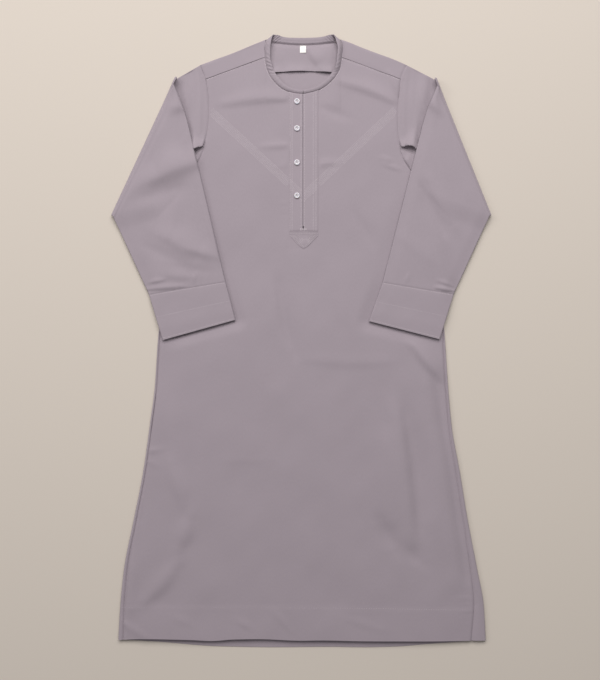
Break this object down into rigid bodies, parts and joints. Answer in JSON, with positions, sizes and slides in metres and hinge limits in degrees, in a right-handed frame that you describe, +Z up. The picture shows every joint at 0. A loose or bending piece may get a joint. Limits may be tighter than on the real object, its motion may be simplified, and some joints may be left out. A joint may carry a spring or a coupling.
{
  "type": "thobe robe",
  "caption": "Long-sleeved thobe robe laid flat on its back, with a round neckband, a buttoned pointed placket, deep cuffs and the sleeves folded over the front.",
  "frame": {"origin": "on the surface that the robe lies on, under the middle of its plan", "axes": "+X to the wearer's left, +Y towards the neck, +Z up from the surface, out of the front of the robe"},
  "size_m": [0.7196, 1.1621, 0.0112],
  "materials": {
    "suiting": "woven polyester-viscose suiting, mauve-grey, soft sheen",
    "button": "moulded polyester, pearly off-white",
    "label": "woven satin tape, bare"
  },
  "bodies": {
    "root": {"back_panel": "suiting", "back_yoke": "suiting", "yoke_facing": "suiting", "front_panel": "suiting", "placket_upper": "suiting", "placket_under": "suiting", "placket_point": "suiting", "neckband": "suiting", "sleeve_right": "suiting", "sleeve_left": "suiting", "cuff_right": "suiting", "cuff_left": "suiting", "button_1": "button", "button_2": "button", "button_3": "button", "button_4": "button", "size_label": "label"}
  },
  "joints": []
}
